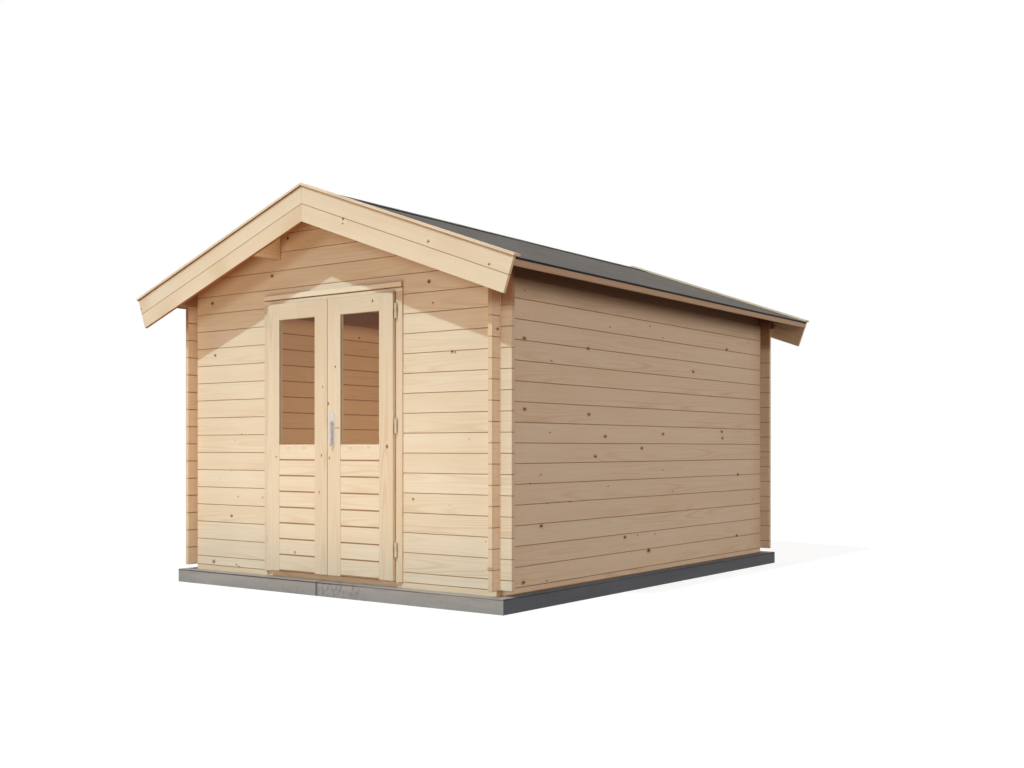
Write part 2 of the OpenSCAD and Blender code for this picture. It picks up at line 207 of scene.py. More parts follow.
def buildGrainGroup():
    # Growth rings are a sine of the distance from the tree's core, a line that wanders along the board,
    # so their lines run straight, spread or close into arches; fibres are noise stretched hard along X.
    tree, start, end = newGroup("pineGrain",
        [("Vector", "Vector", None), ("Knot", "Float", farKnot), ("Tone", "Float", 0.5)],
        [("Color", "Color"), ("Roughness", "Float"), ("Height", "Float")])
    vector = start["Vector"]
    x, y, z = split(tree, vector)
    wander = noise(tree, vector, (0.55, 2.5, 2.5), 2)
    depth = noise(tree, stretch(tree, vector, 0.35, 0.5, 0.5), 1.7, 1)
    offset = plus(tree, scaleAdd(tree, start["Tone"], 0.09, -0.045),
                  scaleAdd(tree, wander, grainSetup["wander"] * 2, -grainSetup["wander"]))
    core = join(tree, 0.0, plus(tree, y, scaleAdd(tree, depth, 0.085, 0.004)),
                plus(tree, z, offset))
    bend = calc(tree, "EXPONENT", times(tree, start["Knot"], -0.5))
    phase = scaleAdd(tree, vectorCalc(tree, "LENGTH", core), 2 * math.pi / grainSetup["ringWidth"],
                     times(tree, bend, grainSetup["knotBend"]))
    rings = scaleAdd(tree, calc(tree, "SINE", phase), 0.5, 0.5)
    rings = calc(tree, "POWER", rings, grainSetup["ringPower"])
    strength = ramp(tree, noise(tree, vector, (0.5, 4, 4), 1), 0.36, 0.74,
                    grainSetup["ringLow"], grainSetup["ringHigh"])
    rings = times(tree, rings, strength)
    fiber = noise(tree, stretch(tree, vector, 0.025, 1, 1), grainSetup["fiber"], 2, 0.6)
    streak = noise(tree, vector, (0.6, 30, 30), 3, 0.6)
    drift = noise(tree, vector, (1.2, 5, 5), 3)
    warmth = plus(tree, scaleAdd(tree, start["Tone"], 0.30, -0.15),
                  scaleAdd(tree, streak, 0.6, -0.3))
    warmth = plus(tree, scaleAdd(tree, drift, 0.9, -0.25), warmth)
    color = mixColor(tree, warmth, woodColors["pale"], woodColors["warm"])
    color = mixColor(tree, rings, color, woodColors["line"])
    color = mixColor(tree, 1.0, color, grey(tree, scaleAdd(tree, fiber, 0.14, 0.93)), "MULTIPLY")
    tree.links.new(color, end["Color"])
    tree.links.new(scaleAdd(tree, fiber, 0.22, 0.48), end["Roughness"])
    tree.links.new(scaleAdd(tree, fiber, 0.5, rings), end["Height"])
    return tree


def buildKnotGroup():
    # Distance to the nearest knot, counted in that knot's radii. Most cells of the pattern hold none.
    tree, start, end = newGroup("knotField", [("Vector", "Vector", None), ("Share", "Float", 0.3)],
                                [("Reach", "Float")])
    x, y, z = split(tree, start["Vector"])
    place = join(tree, times(tree, x, knotSetup["stretch"]), z, 0.0)
    cells = addNode(tree, "ShaderNodeTexVoronoi", {"Vector": place, "Scale": knotSetup["cells"]},
                    voronoi_dimensions="2D")
    red, green, blue = addNode(tree, "ShaderNodeSeparateColor", {0: cells.outputs["Color"]}).outputs
    radius = scaleAdd(tree, calc(tree, "POWER", red, 2.0), knotSetup["large"] - knotSetup["small"],
                      knotSetup["small"])
    distance = calc(tree, "DIVIDE", cells.outputs["Distance"], knotSetup["cells"])
    absent = calc(tree, "GREATER_THAN", green, start["Share"])
    tree.links.new(scaleAdd(tree, absent, farAway, calc(tree, "DIVIDE", distance, radius)), end["Reach"])
    return tree


def buildNamedKnots(name, knots, squeeze):
    # Distance to the nearest of some given knots, each (along, height, radius), counted in its radii; a
    # fourth value is added to it, for a paler knot. Squeezed distances draw the knots out.
    tree, start, end = newGroup(name, [("Vector", "Vector", None)], [("Reach", "Float")])
    place = stretch(tree, start["Vector"], squeeze[0], 1, squeeze[1])
    reach = None
    for along, height, radius, *fade in knots:
        apart = vectorCalc(tree, "DISTANCE", place, (along * squeeze[0], 0, height * squeeze[1]))
        apart = scaleAdd(tree, apart, 1 / (radius * knotSetup["swell"]), sum(fade))
        reach = apart if reach is None else calc(tree, "MINIMUM", reach, apart)
    tree.links.new(reach, end["Reach"])
    return tree


def buildFinishGroup():
    # Lays knots, the darker end grain and the dark line at a joint over the grain's colour; the same dark
    # line also carries the bands of painted shade
    tree, start, end = newGroup("pineFinish",
        [("Color", "Color", white), ("Knot", "Float", farKnot), ("Joint", "Float", 1.0),
         ("End", "Float", 0.0), ("Vector", "Vector", None)], [("Color", "Color"), ("Depth", "Float")])
    rough = noise(tree, start["Vector"], (60, 160, 160), 2)
    rough = scaleAdd(tree, rough, knotSetup["rough"], -knotSetup["rough"] / 2)
    knot = plus(tree, start["Knot"], rough)
    halo = ramp(tree, knot, knotSetup["haloEnds"], knotSetup["haloFull"], 0.0, knotSetup["halo"])
    core = ramp(tree, knot, knotSetup["coreEnds"], knotSetup["coreFull"])
    line = ramp(tree, start["Joint"], lineSetup["ends"], lineSetup["full"])
    color = mixColor(tree, start["End"], start["Color"],
                     mixColor(tree, 0.55, start["Color"], woodColors["endGrain"]))
    color = mixColor(tree, halo, color, woodColors["knotHalo"])
    color = mixColor(tree, core, color, woodColors["knotCore"])
    color = mixColor(tree, times(tree, line, lineSetup["strength"]), color, woodColors["joint"])
    tree.links.new(color, end["Color"])
    tree.links.new(scaleAdd(tree, core, -0.4, times(tree, line, -1.0)), end["Depth"])
    return tree


grainGroup = buildGrainGroup()
knotGroup = buildKnotGroup()
finishGroup = buildFinishGroup()

# Sizes of the timber that the rows of grain and the joint lines follow

roofShape = {"pitch": 20.0, "boards": 43, "joint": 0.003, "gap": 0.0006, "apart": 0.0002,
             "boardMiddle": 0.0139, "boardUnder": 0.01, "feltThick": 0.004, "bargeRow": 0.105,
             "bargeOut": 0.25, "purlinMiddle": 0.495, "fasciaFace": 1.621, "fasciaMiddle": 1.81}
logShape = {"height": 0.121, "thick": 0.028}
leafShape = {"thick": 0.04, "stileRow": 0.4435, "stileStart": -0.16325, "boardRow": 0.104,
             "boardStart": 0.012, "rail": (0.1145, 0.446, 1.7895), "railMiddle": 0.06,
             "railLine": (3.0, 0.0012)}
pitchAngle = math.radians(roofShape["pitch"])
slopeCos, slopeSin, slopeTan = math.cos(pitchAngle), math.sin(pitchAngle), math.tan(pitchAngle)
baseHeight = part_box("left_wall_logs_a")[0][2]
halfWidth = -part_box("left_wall_logs_a")[0][0]
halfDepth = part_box("back_wall_logs_a")[1][1]
sideMiddle = halfWidth - logShape["thick"] / 2
endMiddle = halfDepth - logShape["thick"] / 2
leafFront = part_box("right_leaf_frame")[0][1]
leafMiddle = -leafFront - leafShape["thick"] / 2
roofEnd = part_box("right_roof_boards")[1][1]
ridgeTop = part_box("right_roof_felt")[1][2]
deckMiddle = (ridgeTop - roofShape["boardMiddle"]) * slopeCos
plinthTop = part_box("end_sills")[0][2]
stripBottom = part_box("door_drip_strip")[0][2] - 0.001

# Dark lines are (direction, place, sharpness, least). The direction is 0 along the board, 1 into it and 2
# across it, and a least distance over zero makes a soft band of painted shade. The side walls have three
# such bands of painted shade by the corners, laid over each other, and a wide dark line of painted shade
# under the eave. Then come the two heights between which the log ends darken with painted shade under the
# eave, and the distances below the roof's underside over which the front logs take a painted shade.

sillEdge = (2, baseHeight, 1, 0)
paintedSideShade = [(0, 1.765, 0.05, 0.0027), (0, 1.74, 0.032, 0.0029), (0, 1.715, 0.022, 0.00315),
             (2, 2.026, 0.02, 0)]
paintedEavesHeights = {"side": (1.68, 1.88), "front": (1.67, 1.86), "past": 0.002}
paintedRoofShade = {"ends": 0.15, "full": 0.03, "tint": (0.5, 0.3, 0.2, 1)}


def boardFrame(tree, axis):
    # Object coordinates turned into the board's frame, the share that faces along the grain, and the side
    coords = coordinates(tree)
    x, y, z = split(tree, coords["Object"])
    nx, ny, nz = split(tree, coords["Normal"])
    if axis == "x":
        vector, endwise = join(tree, x, calc(tree, "ABSOLUTE", y), z), nx
    elif axis == "y":
        vector, endwise = join(tree, y, calc(tree, "ABSOLUTE", x), z), ny
    elif axis == "z":
        vector, endwise = join(tree, z, calc(tree, "ABSOLUTE", y), calc(tree, "ABSOLUTE", x)), nz
    else:
        outward = join(tree, calc(tree, "ABSOLUTE", x), y, z)
        normal = join(tree, times(tree, nx, calc(tree, "SIGN", x)), ny, nz)
        lean = {"Rotation": (0, -pitchAngle, 0)}
        vector = addNode(tree, "ShaderNodeMapping", {"Vector": outward, **lean}).outputs[0]
        normal = addNode(tree, "ShaderNodeMapping", {"Vector": normal, **lean}).outputs[0]
        endwise = split(tree, normal)[0]
    side = times(tree, calc(tree, "SIGN", y if axis == "x" else x), grainSetup["sideShift"])
    return vector, ramp(tree, calc(tree, "ABSOLUTE", endwise), 0.80, 0.95), side


def addEdges(tree, near, places, edges):
    # The distance to the nearest joint line or edge, where an edge lies at a value of |coordinate|; an edge
    # with a least distance over zero is a band of painted shade
    for direction, place, sharpness, least in edges:
        apart = distanceTo(tree, calc(tree, "ABSOLUTE", places[direction]), place)
        apart = calc(tree, "MAXIMUM", times(tree, apart, sharpness), least)
        near = calc(tree, "MINIMUM", near, apart)
    return near


def crossRail(tree, rail, own, x, z):
    # A rail between two values of |x|, above its bottom, has its grain along X, with a line at each end
    low, high, bottom = rail
    wide = calc(tree, "ABSOLUTE", x)
    inside = times(tree, calc(tree, "GREATER_THAN", wide, low), calc(tree, "LESS_THAN", wide, high))
    inside = times(tree, inside, calc(tree, "GREATER_THAN", z, bottom))
    lying = join(tree, plus(tree, x, 5.0), 0.01,
                 calc(tree, "SUBTRACT", z, bottom + leafShape["railMiddle"]))
    own = addNode(tree, "ShaderNodeMix", {0: inside, 4: own, 5: lying}, data_type="VECTOR").outputs[1]
    seam = calc(tree, "MINIMUM", distanceTo(tree, wide, low), distanceTo(tree, wide, high))
    seam = plus(tree, seam, calc(tree, "LESS_THAN", z, bottom))
    return own, scaleAdd(tree, seam, *leafShape["railLine"])


def pineMaterial(name, axis, pitch=1.0, start=0.0, across=2, depth=0.0, seed=0.0, share=0.3, joint=True,
                 groove=1.0, knots=None, squeeze=(0.85, 1), rail=None, edges=(), paintedShadeFacing=None, beyond=0.0,
                 paintedShadeLines=1.0, eaves=None, under=None):
    # Planed pine in rows of a given pitch across the board's frame, each row with its own grain, and a
    # joint line between rows that widens as groove gets smaller. share is how many cells hold a random
    # knot. Where knots are given, they lie on the front or the right, and random ones on the other side.
    # One option is a direction: faces turned against it, beyond a value of |along|, take a second tint that
    # is painted shade, and another option widens their lines, more painted shade, the lower it is. The eaves
    # option is a value of |along| and two heights: outside the one, pine darkens with painted shade between
    # the others, but not on faces turned away. The last option is the height of the roof's underside,
    # measured square to it: pine that meets it has a third tint, a painted shade.
    material, tree, shader = newMaterial(name, specularIorLevel=0.35)
    vector, endMask, side = boardFrame(tree, axis)
    along, inward, upward = split(tree, vector)
    length = calc(tree, "ABSOLUTE", along)
    coords = coordinates(tree)
    x, y, z = split(tree, coords["Object"])
    place = calc(tree, "DIVIDE", calc(tree, "SUBTRACT", (along, inward, upward)[across], start), pitch)
    middle = scaleAdd(tree, calc(tree, "FRACT", place), pitch, -pitch / 2)
    near = calc(tree, "SUBTRACT", pitch / 2, calc(tree, "ABSOLUTE", middle)) if joint else 1.0
    near = times(tree, near, groove)
    shadedFaces = 0.0
    # Painted shade: faces turned against the given direction take a darker tint and wider lines
    if paintedShadeFacing is not None:
        facing = split(tree, coords["Normal"])[paintedShadeFacing]
        if paintedShadeFacing == 0:
            facing = times(tree, facing, calc(tree, "SIGN", x))
        shadedFaces = ramp(tree, facing, -0.3, -0.8)
        near = times(tree, near, scaleAdd(tree, shadedFaces, paintedShadeLines - 1.0, 1.0))
    near = addEdges(tree, near, (along, inward, upward), edges)
    # Painted shade: outside the walls, the log ends darken between two heights under the eave
    if eaves:
        outside, low, high = eaves
        eavesShadeLine = ramp(tree, upward, low, high, lineSetup["ends"] + 0.0002, 0.0)
        eavesShadeLine = plus(tree, eavesShadeLine, calc(tree, "LESS_THAN", length, outside))
        near = calc(tree, "MINIMUM", near, plus(tree, eavesShadeLine, shadedFaces))
    row = plus(tree, plus(tree, calc(tree, "FLOOR", place), side), seed)
    tone = addNode(tree, "ShaderNodeTexWhiteNoise", {"W": row}, noise_dimensions="1D").outputs["Value"]
    shifted = scaleAdd(tree, tone, grainSetup["rowShift"], along)
    own = join(tree, shifted, calc(tree, "SUBTRACT", inward if across == 2 else upward, depth), middle)
    flat = join(tree, shifted, 0.0, scaleAdd(tree, tone, 5.0, middle))
    if rail:
        own, near = crossRail(tree, rail, own, x, z)
    if knots:
        away = calc(tree, "LESS_THAN", x, 0.0) if axis == "y" else calc(tree, "GREATER_THAN", y, 0.0)
        share = times(tree, away, share)
    reach = useGroup(tree, knotGroup, Vector=flat, Share=share)["Reach"]
    if knots:
        face = join(tree, y if axis == "y" else x, 0.0, z)
        named = useGroup(tree, buildNamedKnots(name + "Knots", knots, squeeze), Vector=face)["Reach"]
        reach = calc(tree, "MINIMUM", reach, scaleAdd(tree, away, farAway, named))
    grain = useGroup(tree, grainGroup, Vector=own, Knot=reach, Tone=tone)
    finish = useGroup(tree, finishGroup, Color=grain["Color"], Knot=reach, Joint=near, End=endMask,
                      Vector=own)
    color = mixColor(tree, 1.0, finish["Color"], pineTintsAndPaintedShading.get(name, white), "MULTIPLY")
    if paintedShadeFacing is not None:
        shadedFaces = times(tree, shadedFaces, calc(tree, "GREATER_THAN", length, beyond))
        color = mixColor(tree, shadedFaces, color, paintedShadeTints[name], "MULTIPLY")
    # Painted shade: pine close under the roof's underside takes a dark warm tint
    if under:
        square = times(tree, calc(tree, "ABSOLUTE", x), slopeSin)
        square = scaleAdd(tree, z, slopeCos, square)
        roofShadeMask = ramp(tree, square, under - paintedRoofShade["ends"], under - paintedRoofShade["full"])
        color = mixColor(tree, roofShadeMask, color, paintedRoofShade["tint"], "MULTIPLY")
    paint(tree, shader, color, grain["Roughness"])
    relief = scaleAdd(tree, finish["Depth"], lineSetup["depth"], grain["Height"])
    addBump(tree, shader, relief, grainSetup["bump"], grainSetup["bumpStrength"])
    return material


# Knots as (along, height, radius) or, for a paler one, with how far it fades

wallKnots = [(-1.56, 1.59), (-0.86, 1.577), (1.144, 1.708), (0.584, 1.506), (-1.557, 1.172),
    (-0.85, 1.158), (-0.652, 1.019), (0.124, 1.042), (1.059, 1.069), (1.07, 1.02), (-0.774, 0.889),
    (-0.175, 0.942), (1.345, 0.734), (-1.384, 0.475), (-0.4, 0.347), (1.321, 0.253), (-1.569, 0.152)]
smallWallKnots = [(-0.591, 1.737), (-0.063, 1.788), (-1.291, 1.038), (-1.498, 0.732), (-0.615, 0.694),
    (0.265, 0.635), (-1.316, 0.609), (-1.071, 0.609), (-0.232, 0.351), (0.011, 0.344), (-1.327, 0.14),
    (0.127, 0.789), (-1.39, 0.784), (0.124, 1.722), (-1.275, 1.473), (1.537, 1.788), (0.867, 1.335),
    (1.626, 0.53)]
rightWallKnots = [(-0.08, 0.235, 0.0105), (-1.821, 1.623, 0.0052), (-1.555, 1.872, 0.006, 0.7),
    (-1.893, 0.256, 0.008)]
rightWallKnots += [(*place, 0.0075) for place in wallKnots]
rightWallKnots += [(*place, 0.0042, 0.3) for place in smallWallKnots]
frontWallKnots = [(-0.404, 2.33, 0.0075), (-0.212, 2.291, 0.005, 0.8), (-0.555, 2.095, 0.008),
    (-1.163, 1.956, 0.0085), (0.816, 1.942, 0.0085), (0.847, 1.812, 0.004), (-0.169, 2.18, 0.004, 0.8),
    (0.691, 0.634, 0.005), (-1.147, 0.151, 0.008), (-0.911, 0.143, 0.004), (-0.887, 0.132, 0.004),
    (1.268, 0.242, 0.006), (-1.133, 1.59, 0.0065), (-0.96, 0.475, 0.007), (0.995, 1.512, 0.006),
    (1.018, 1.508, 0.005, 0.2), (-0.646, 0.612, 0.004, 0.3), (-0.892, 0.61, 0.004, 0.3),
    (-0.857, 1.038, 0.004, 0.3), (-0.926, 0.992, 0.004, 0.8), (-0.967, 0.787, 0.004, 0.6),
    (-1.075, 0.733, 0.005, 0.8), (0.978, 0.603, 0.004, 0.8), (1.123, 0.996, 0.004, 0.6),
    (1.246, 0.403, 0.005, 0.6)]
bargeKnots = [(0.36, 2.329, 0.006), (0.356, 2.301, 0.004), (1.032, 2.122, 0.005), (1.468, 1.951, 0.004),
    (-1.606, 1.921, 0.005)]
leafKnots = [(0.391, 1.854, 0.0045), (0.07, 1.46, 0.0045, 0.2), (-0.043, 1.335, 0.004, 0.3),
    (0.008, 1.227, 0.0052), (0.511, 0.953, 0.0065), (-0.475, 0.885, 0.004, 0.2),
    (-0.052, 0.896, 0.0042, 0.1), (0.018, 0.88, 0.0042, 0.1), (-0.072, 0.661, 0.004, 0.2),
    (-0.3, 0.262, 0.005, 0.1)]
leafStreaks = [(-0.364, 0.944, 0.9), (-0.215, 0.944, 0.9), (0.202, 0.944, 0.9), (0.355, 0.946, 0.9),
    (0.076, 1.071, 0.6), (0.092, 1.071, 0.6)]
leafKnots += [(along + step, height, 0.004, fade) for along, height, fade in leafStreaks
              for step in (-0.009, 0.0, 0.009)]


def dress(material, *words):
    for name in cadNodes:
        if any(word in name for word in words):
            cadNodes[name].data.materials.clear()
            cadNodes[name].data.materials.append(material)


# The tint of each pine material, the eave log's, the fascia's and the roof boards' darkened as painted
# shade and the purlins' brightened as painted light, then the painted shade on the faces under or behind
# it that the daylight doesn't reach

pineTintsAndPaintedShading = {"sideLogs": (1.0, 0.965, 0.945, 1), "eaveLog": (0.6, 0.5, 0.4, 1),
             "sillPine": (0.93, 0.89, 0.83, 1), "sideSillPine": (0.95, 0.90, 0.85, 1),
             "headPine": (1.1, 1.1, 1.1, 1), "purlinPine": (1.2, 1.16, 1.1, 1),
             "fasciaPine": (0.63, 0.52, 0.46, 1), "bargeboardsPine": (1.04, 1.0, 0.96, 1),
             "cap_boardsPine": (1.04, 1.0, 0.96, 1), "leafPine": (0.93, 0.91, 0.89, 1),
             "roofPine": (0.52, 0.34, 0.2, 1)}
paintedShadeTints = {"sideLogs": (0.80, 0.78, 0.78, 1), "purlinPine": (0.42, 0.33, 0.27, 1),
               "fasciaPine": (0.3, 0.24, 0.2, 1), "bargeboardsPine": (0.7, 0.48, 0.34, 1),
               "cap_boardsPine": (0.3, 0.22, 0.16, 1)}
dress(pineMaterial("sideLogs", "y", logShape["height"], baseHeight, depth=sideMiddle, seed=3, share=0.22,
                   knots=rightWallKnots, squeeze=(0.55, 1), edges=paintedSideShade,
                   eaves=(halfDepth + paintedEavesHeights["past"], *paintedEavesHeights["side"]), paintedShadeFacing=0,
                   beyond=halfDepth, paintedShadeLines=0.6),
      "wall_logs")
dress(pineMaterial("eaveLog", "y", logShape["height"], baseHeight, depth=sideMiddle, seed=3, share=0.22,
                   edges=paintedSideShade),
      "eave_log")
dress(pineMaterial("frontLogs", "x", logShape["height"], baseHeight - logShape["height"] / 2,
                   depth=endMiddle, seed=4, share=0.22, knots=frontWallKnots, edges=[sillEdge],
                   eaves=(halfWidth + paintedEavesHeights["past"], *paintedEavesHeights["front"]),
                   under=deckMiddle - roofShape["boardUnder"]),
      "back_wall_logs", "front_left_logs", "front_right_logs", "front_gable_logs")
dress(pineMaterial("sillPine", "x", pitch=0.2, depth=endMiddle, seed=1, share=0.1, joint=False,
                   edges=[sillEdge]),
      "end_sills", "door_threshold")
dress(pineMaterial("sideSillPine", "y", pitch=0.2, depth=sideMiddle, seed=2, share=0.1, joint=False,
                   edges=[sillEdge, (2, plinthTop, 0.5, 0)]),
      "side_sills")
dress(pineMaterial("headPine", "x", pitch=0.5, start=1.7, depth=halfDepth, seed=9, share=0.1, joint=False,
                   edges=[(2, stripBottom, 0.6, 0)]),
      "door_head", "door_drip")
dress(pineMaterial("purlinPine", "y", pitch=0.3, depth=roofShape["purlinMiddle"], seed=5, joint=False,
                   edges=[(0, halfDepth, 0.5, 0)], paintedShadeFacing=2),
      "purlins")
dress(pineMaterial("fasciaPine", "y", pitch=0.3, start=roofShape["fasciaMiddle"],
                   depth=roofShape["fasciaFace"], seed=6, share=0.12, joint=False, paintedShadeFacing=0),
      "fascia")
for part in ("bargeboards", "cap_boards"):
    dress(pineMaterial(part + "Pine", "slope", roofShape["bargeRow"], ridgeTop * slopeCos,
                       depth=halfDepth + roofShape["bargeOut"], seed=7, share=0.12, knots=bargeKnots,
                       paintedShadeFacing=2),
          part)
dress(pineMaterial("leafPine", "z", leafShape["stileRow"], leafShape["stileStart"], depth=leafMiddle,
                   seed=8, share=0.2, joint=False, knots=leafKnots, squeeze=(1, 0.7),
                   rail=leafShape["rail"]),
      "leaf_frame", "leaf_beads", "door_jambs")
dress(pineMaterial("leafBoardPine", "x", leafShape["boardRow"], baseHeight + leafShape["boardStart"],
                   depth=leafMiddle, seed=10, share=0.2, groove=0.48, knots=leafKnots, squeeze=(1, 0.7)),
      "leaf_boards")
roofPine = pineMaterial("roofPine", "slope", 2 * roofEnd / roofShape["boards"], -roofEnd, across=1,
                        depth=deckMiddle, seed=11)
print("stage 2: pine materials")


# Roofing felt, foundation timber, steel and glass

feltColors = {"dark": rgb(89, 82, 76), "light": rgb(126, 117, 109), "bitumen": rgb(22, 18, 16)}
feltSetup = {"granules": 420.0, "patches": 3.0, "fine": 60.0, "turnEnds": 0.55, "turnFull": 0.3}
# Plinth greys: end is for the faces turned to the front and back, side is a darker, bluer grey that paints
# shade on the faces turned to the sides, and rim is the painted shade under the top edge
timberColors = {"end": (rgb(196, 180, 167), rgb(166, 152, 141)), "dent": rgb(96, 88, 90),
                "side": (rgb(112, 117, 123), rgb(94, 99, 105)), "rim": rgb(70, 64, 60)}
plinthSetup = {"rim": 0.005, "rimEnds": 0.006, "rimFull": 0.002, "seam": -0.055, "seamEnds": 0.014,
               "seamFull": 0.004, "marks": 0.17, "marksEnd": 0.30, "marksFull": 0.08, "dents": 0.42,
               "checks": 0.35}
metalSetup = {
    "satinSteel": {"colors": (rgb(222, 218, 212), rgb(200, 196, 190)), "metallic": 0.35, "rough": 0.36},
    "dullZinc": {"colors": (rgb(226, 212, 186), rgb(208, 194, 168)), "metallic": 0.2, "rough": 0.5}}
glassSetup = {"ior": 1.22, "clear": rgb(244, 249, 246), "filmed": rgb(238, 246, 242), "filmRough": 0.04}
keywaySetup = {"dark": rgb(14, 13, 12), "light": rgb(34, 32, 30)}


def feltMaterial():
    # Mineral granules on bitumen: cells of mixed grey, worn patches, and near black where the sheet turns
    # down, partly bare bitumen and partly painted shade of the gap under the turned edge
    material, tree, shader = newMaterial("mineralFelt", specularIorLevel=0.3)
    coords = coordinates(tree)
    granules = addNode(tree, "ShaderNodeTexVoronoi", {"Vector": coords["Object"],
                       "Scale": feltSetup["granules"]})
    grain = split(tree, granules.outputs["Color"])[0]
    patches = noise(tree, coords["Object"], feltSetup["patches"], 4, 0.6)
    fine = noise(tree, coords["Object"], feltSetup["fine"], 3, 0.6)
    tone = plus(tree, scaleAdd(tree, patches, 1.1, -0.35), scaleAdd(tree, fine, 0.5, -0.2))
    tone = plus(tree, scaleAdd(tree, grain, 0.5, -0.15), tone)
    color = mixColor(tree, tone, feltColors["dark"], feltColors["light"])
    # Partly painted shade: the turned-down edge is near black, like the shadow gap under it
    turnedDown = ramp(tree, split(tree, coords["Normal"])[2], feltSetup["turnEnds"], feltSetup["turnFull"])
    color = mixColor(tree, turnedDown, color, feltColors["bitumen"])
    paint(tree, shader, color, scaleAdd(tree, grain, 0.15, 0.82))
    addBump(tree, shader, scaleAdd(tree, patches, 3.0, granules.outputs["Distance"]), 0.0008, 0.5)
    return material


def timberMaterial(name, axis, colors, endColors):
    # Weathered grey timber: streaks and checks along the beam, small dents and stains, most of them to
    # the right of the front joint, and a dark line of painted shade just under the top edge
    material, tree, shader = newMaterial(name, specularIorLevel=0.25)
    coords = coordinates(tree)
    x, y, z = split(tree, coords["Object"])
    vector = join(tree, x, y, z) if axis == "x" else join(tree, y, x, z)
    streaks = noise(tree, vector, (1.4, 40, 40), 4, 0.6)
    fiber = noise(tree, vector, (9, 260, 260), 2, 0.6)
    stain = noise(tree, stretch(tree, vector, 1.0, 2, 2), 2.2, 4, 0.65)
    checks = ramp(tree, noise(tree, vector, (3, 90, 90), 2, 0.7), 0.34, 0.26)
    dents = ramp(tree, noise(tree, stretch(tree, vector, 1.6, 1.0, 1.0), 34.0, 2, 0.5), 0.50, 0.66)
    apart = distanceTo(tree, x, plinthSetup["marks"])
    marked = calc(tree, "MAXIMUM", ramp(tree, apart, plinthSetup["marksEnd"], plinthSetup["marksFull"]),
                  ramp(tree, stain, 0.50, 0.62, 0.0, 0.4))
    dents = times(tree, dents, marked)
    tone = plus(tree, scaleAdd(tree, stain, 1.1, -0.55), scaleAdd(tree, fiber, 0.4, -0.1))
    tone = plus(tree, scaleAdd(tree, streaks, 0.9, -0.3), tone)
    endwise = split(tree, coords["Normal"])[0 if axis == "x" else 1]
    endMask = ramp(tree, calc(tree, "ABSOLUTE", endwise), 0.8, 0.95)
    color = mixColor(tree, endMask, mixColor(tree, tone, *colors), mixColor(tree, tone, *endColors))
    # Painted shade: a dark line just under the top edge
    below = distanceTo(tree, z, plinthTop - plinthSetup["rim"])
    rim = times(tree, ramp(tree, below, plinthSetup["rimEnds"], plinthSetup["rimFull"]),
                ramp(tree, streaks, 0.3, 0.6, 0.4, 0.9))
    color = mixColor(tree, rim, color, timberColors["rim"])
    color = mixColor(tree, times(tree, dents, plinthSetup["dents"]), color, timberColors["dent"])
    if axis == "x":
        seam = ramp(tree, distanceTo(tree, x, plinthSetup["seam"]), plinthSetup["seamEnds"],
                    plinthSetup["seamFull"], 0.0, 0.8)
        color = mixColor(tree, seam, color, timberColors["dent"])
    gaps = times(tree, checks, plinthSetup["checks"])
    color = mixColor(tree, gaps, color, timberColors["dent"])
    paint(tree, shader, color, scaleAdd(tree, streaks, 0.2, 0.72))
    height = calc(tree, "SUBTRACT", scaleAdd(tree, fiber, 0.4, streaks), plus(tree, dents, checks))
    addBump(tree, shader, height, 0.0012, 0.6)
    return material


def metalMaterial(name):
    # Satin metal: short brushing lines round Z, faint smears in the gloss
    setup = metalSetup[name]
    material, tree, shader = newMaterial(name, metallic=setup["metallic"])
    coords = coordinates(tree)["Object"]
    brushed = noise(tree, coords, (1400, 1400, 60), 2, 0.6)
    smear = noise(tree, coords, 38.0, 3, 0.6)
    paint(tree, shader, mixColor(tree, scaleAdd(tree, smear, 1.2, -0.2), *setup["colors"]),
          scaleAdd(tree, smear, 0.16, scaleAdd(tree, brushed, 0.16, setup["rough"])))
    addBump(tree, shader, brushed, 0.00004, 0.5)
    return material


def glassMaterial():
    # Clear float glass, a touch green, with a faint unevenness and film
    material, tree, shader = newMaterial("paneGlass", transmissionWeight=1.0, ior=glassSetup["ior"])
    coords = coordinates(tree)["Object"]
    film = noise(tree, coords, 9.0, 3, 0.6)
    paint(tree, shader, mixColor(tree, film, glassSetup["clear"], glassSetup["filmed"]),
          ramp(tree, film, 0.45, 0.9, 0.0, glassSetup["filmRough"]))
    addBump(tree, shader, noise(tree, coords, 2.0, 1), 0.0004, 0.3)
    return material


def keywayMaterial():
    # Nearly black, smudged
    material, tree, shader = newMaterial("keywayBlack", roughness=0.5)
    smudge = noise(tree, coordinates(tree)["Object"], 300.0, 2)
    paint(tree, shader, mixColor(tree, smudge, keywaySetup["dark"], keywaySetup["light"]),
          scaleAdd(tree, smudge, 0.3, 0.35))
    return material


felt = feltMaterial()
steel = metalMaterial("satinSteel")
zinc = metalMaterial("dullZinc")
keyway = keywayMaterial()
# Both beams take the darker side grey, a painted shade, on the faces turned to the sides: the side beams'
# long faces and the end beams' end grain
dress(timberMaterial("endTimber", "x", timberColors["end"], timberColors["side"]), "plinth_end")
dress(timberMaterial("sideTimber", "y", timberColors["side"], timberColors["end"]), "plinth_side")
dress(glassMaterial(), "leaf_glass")
print("stage 3: other materials")


# Mesh helpers

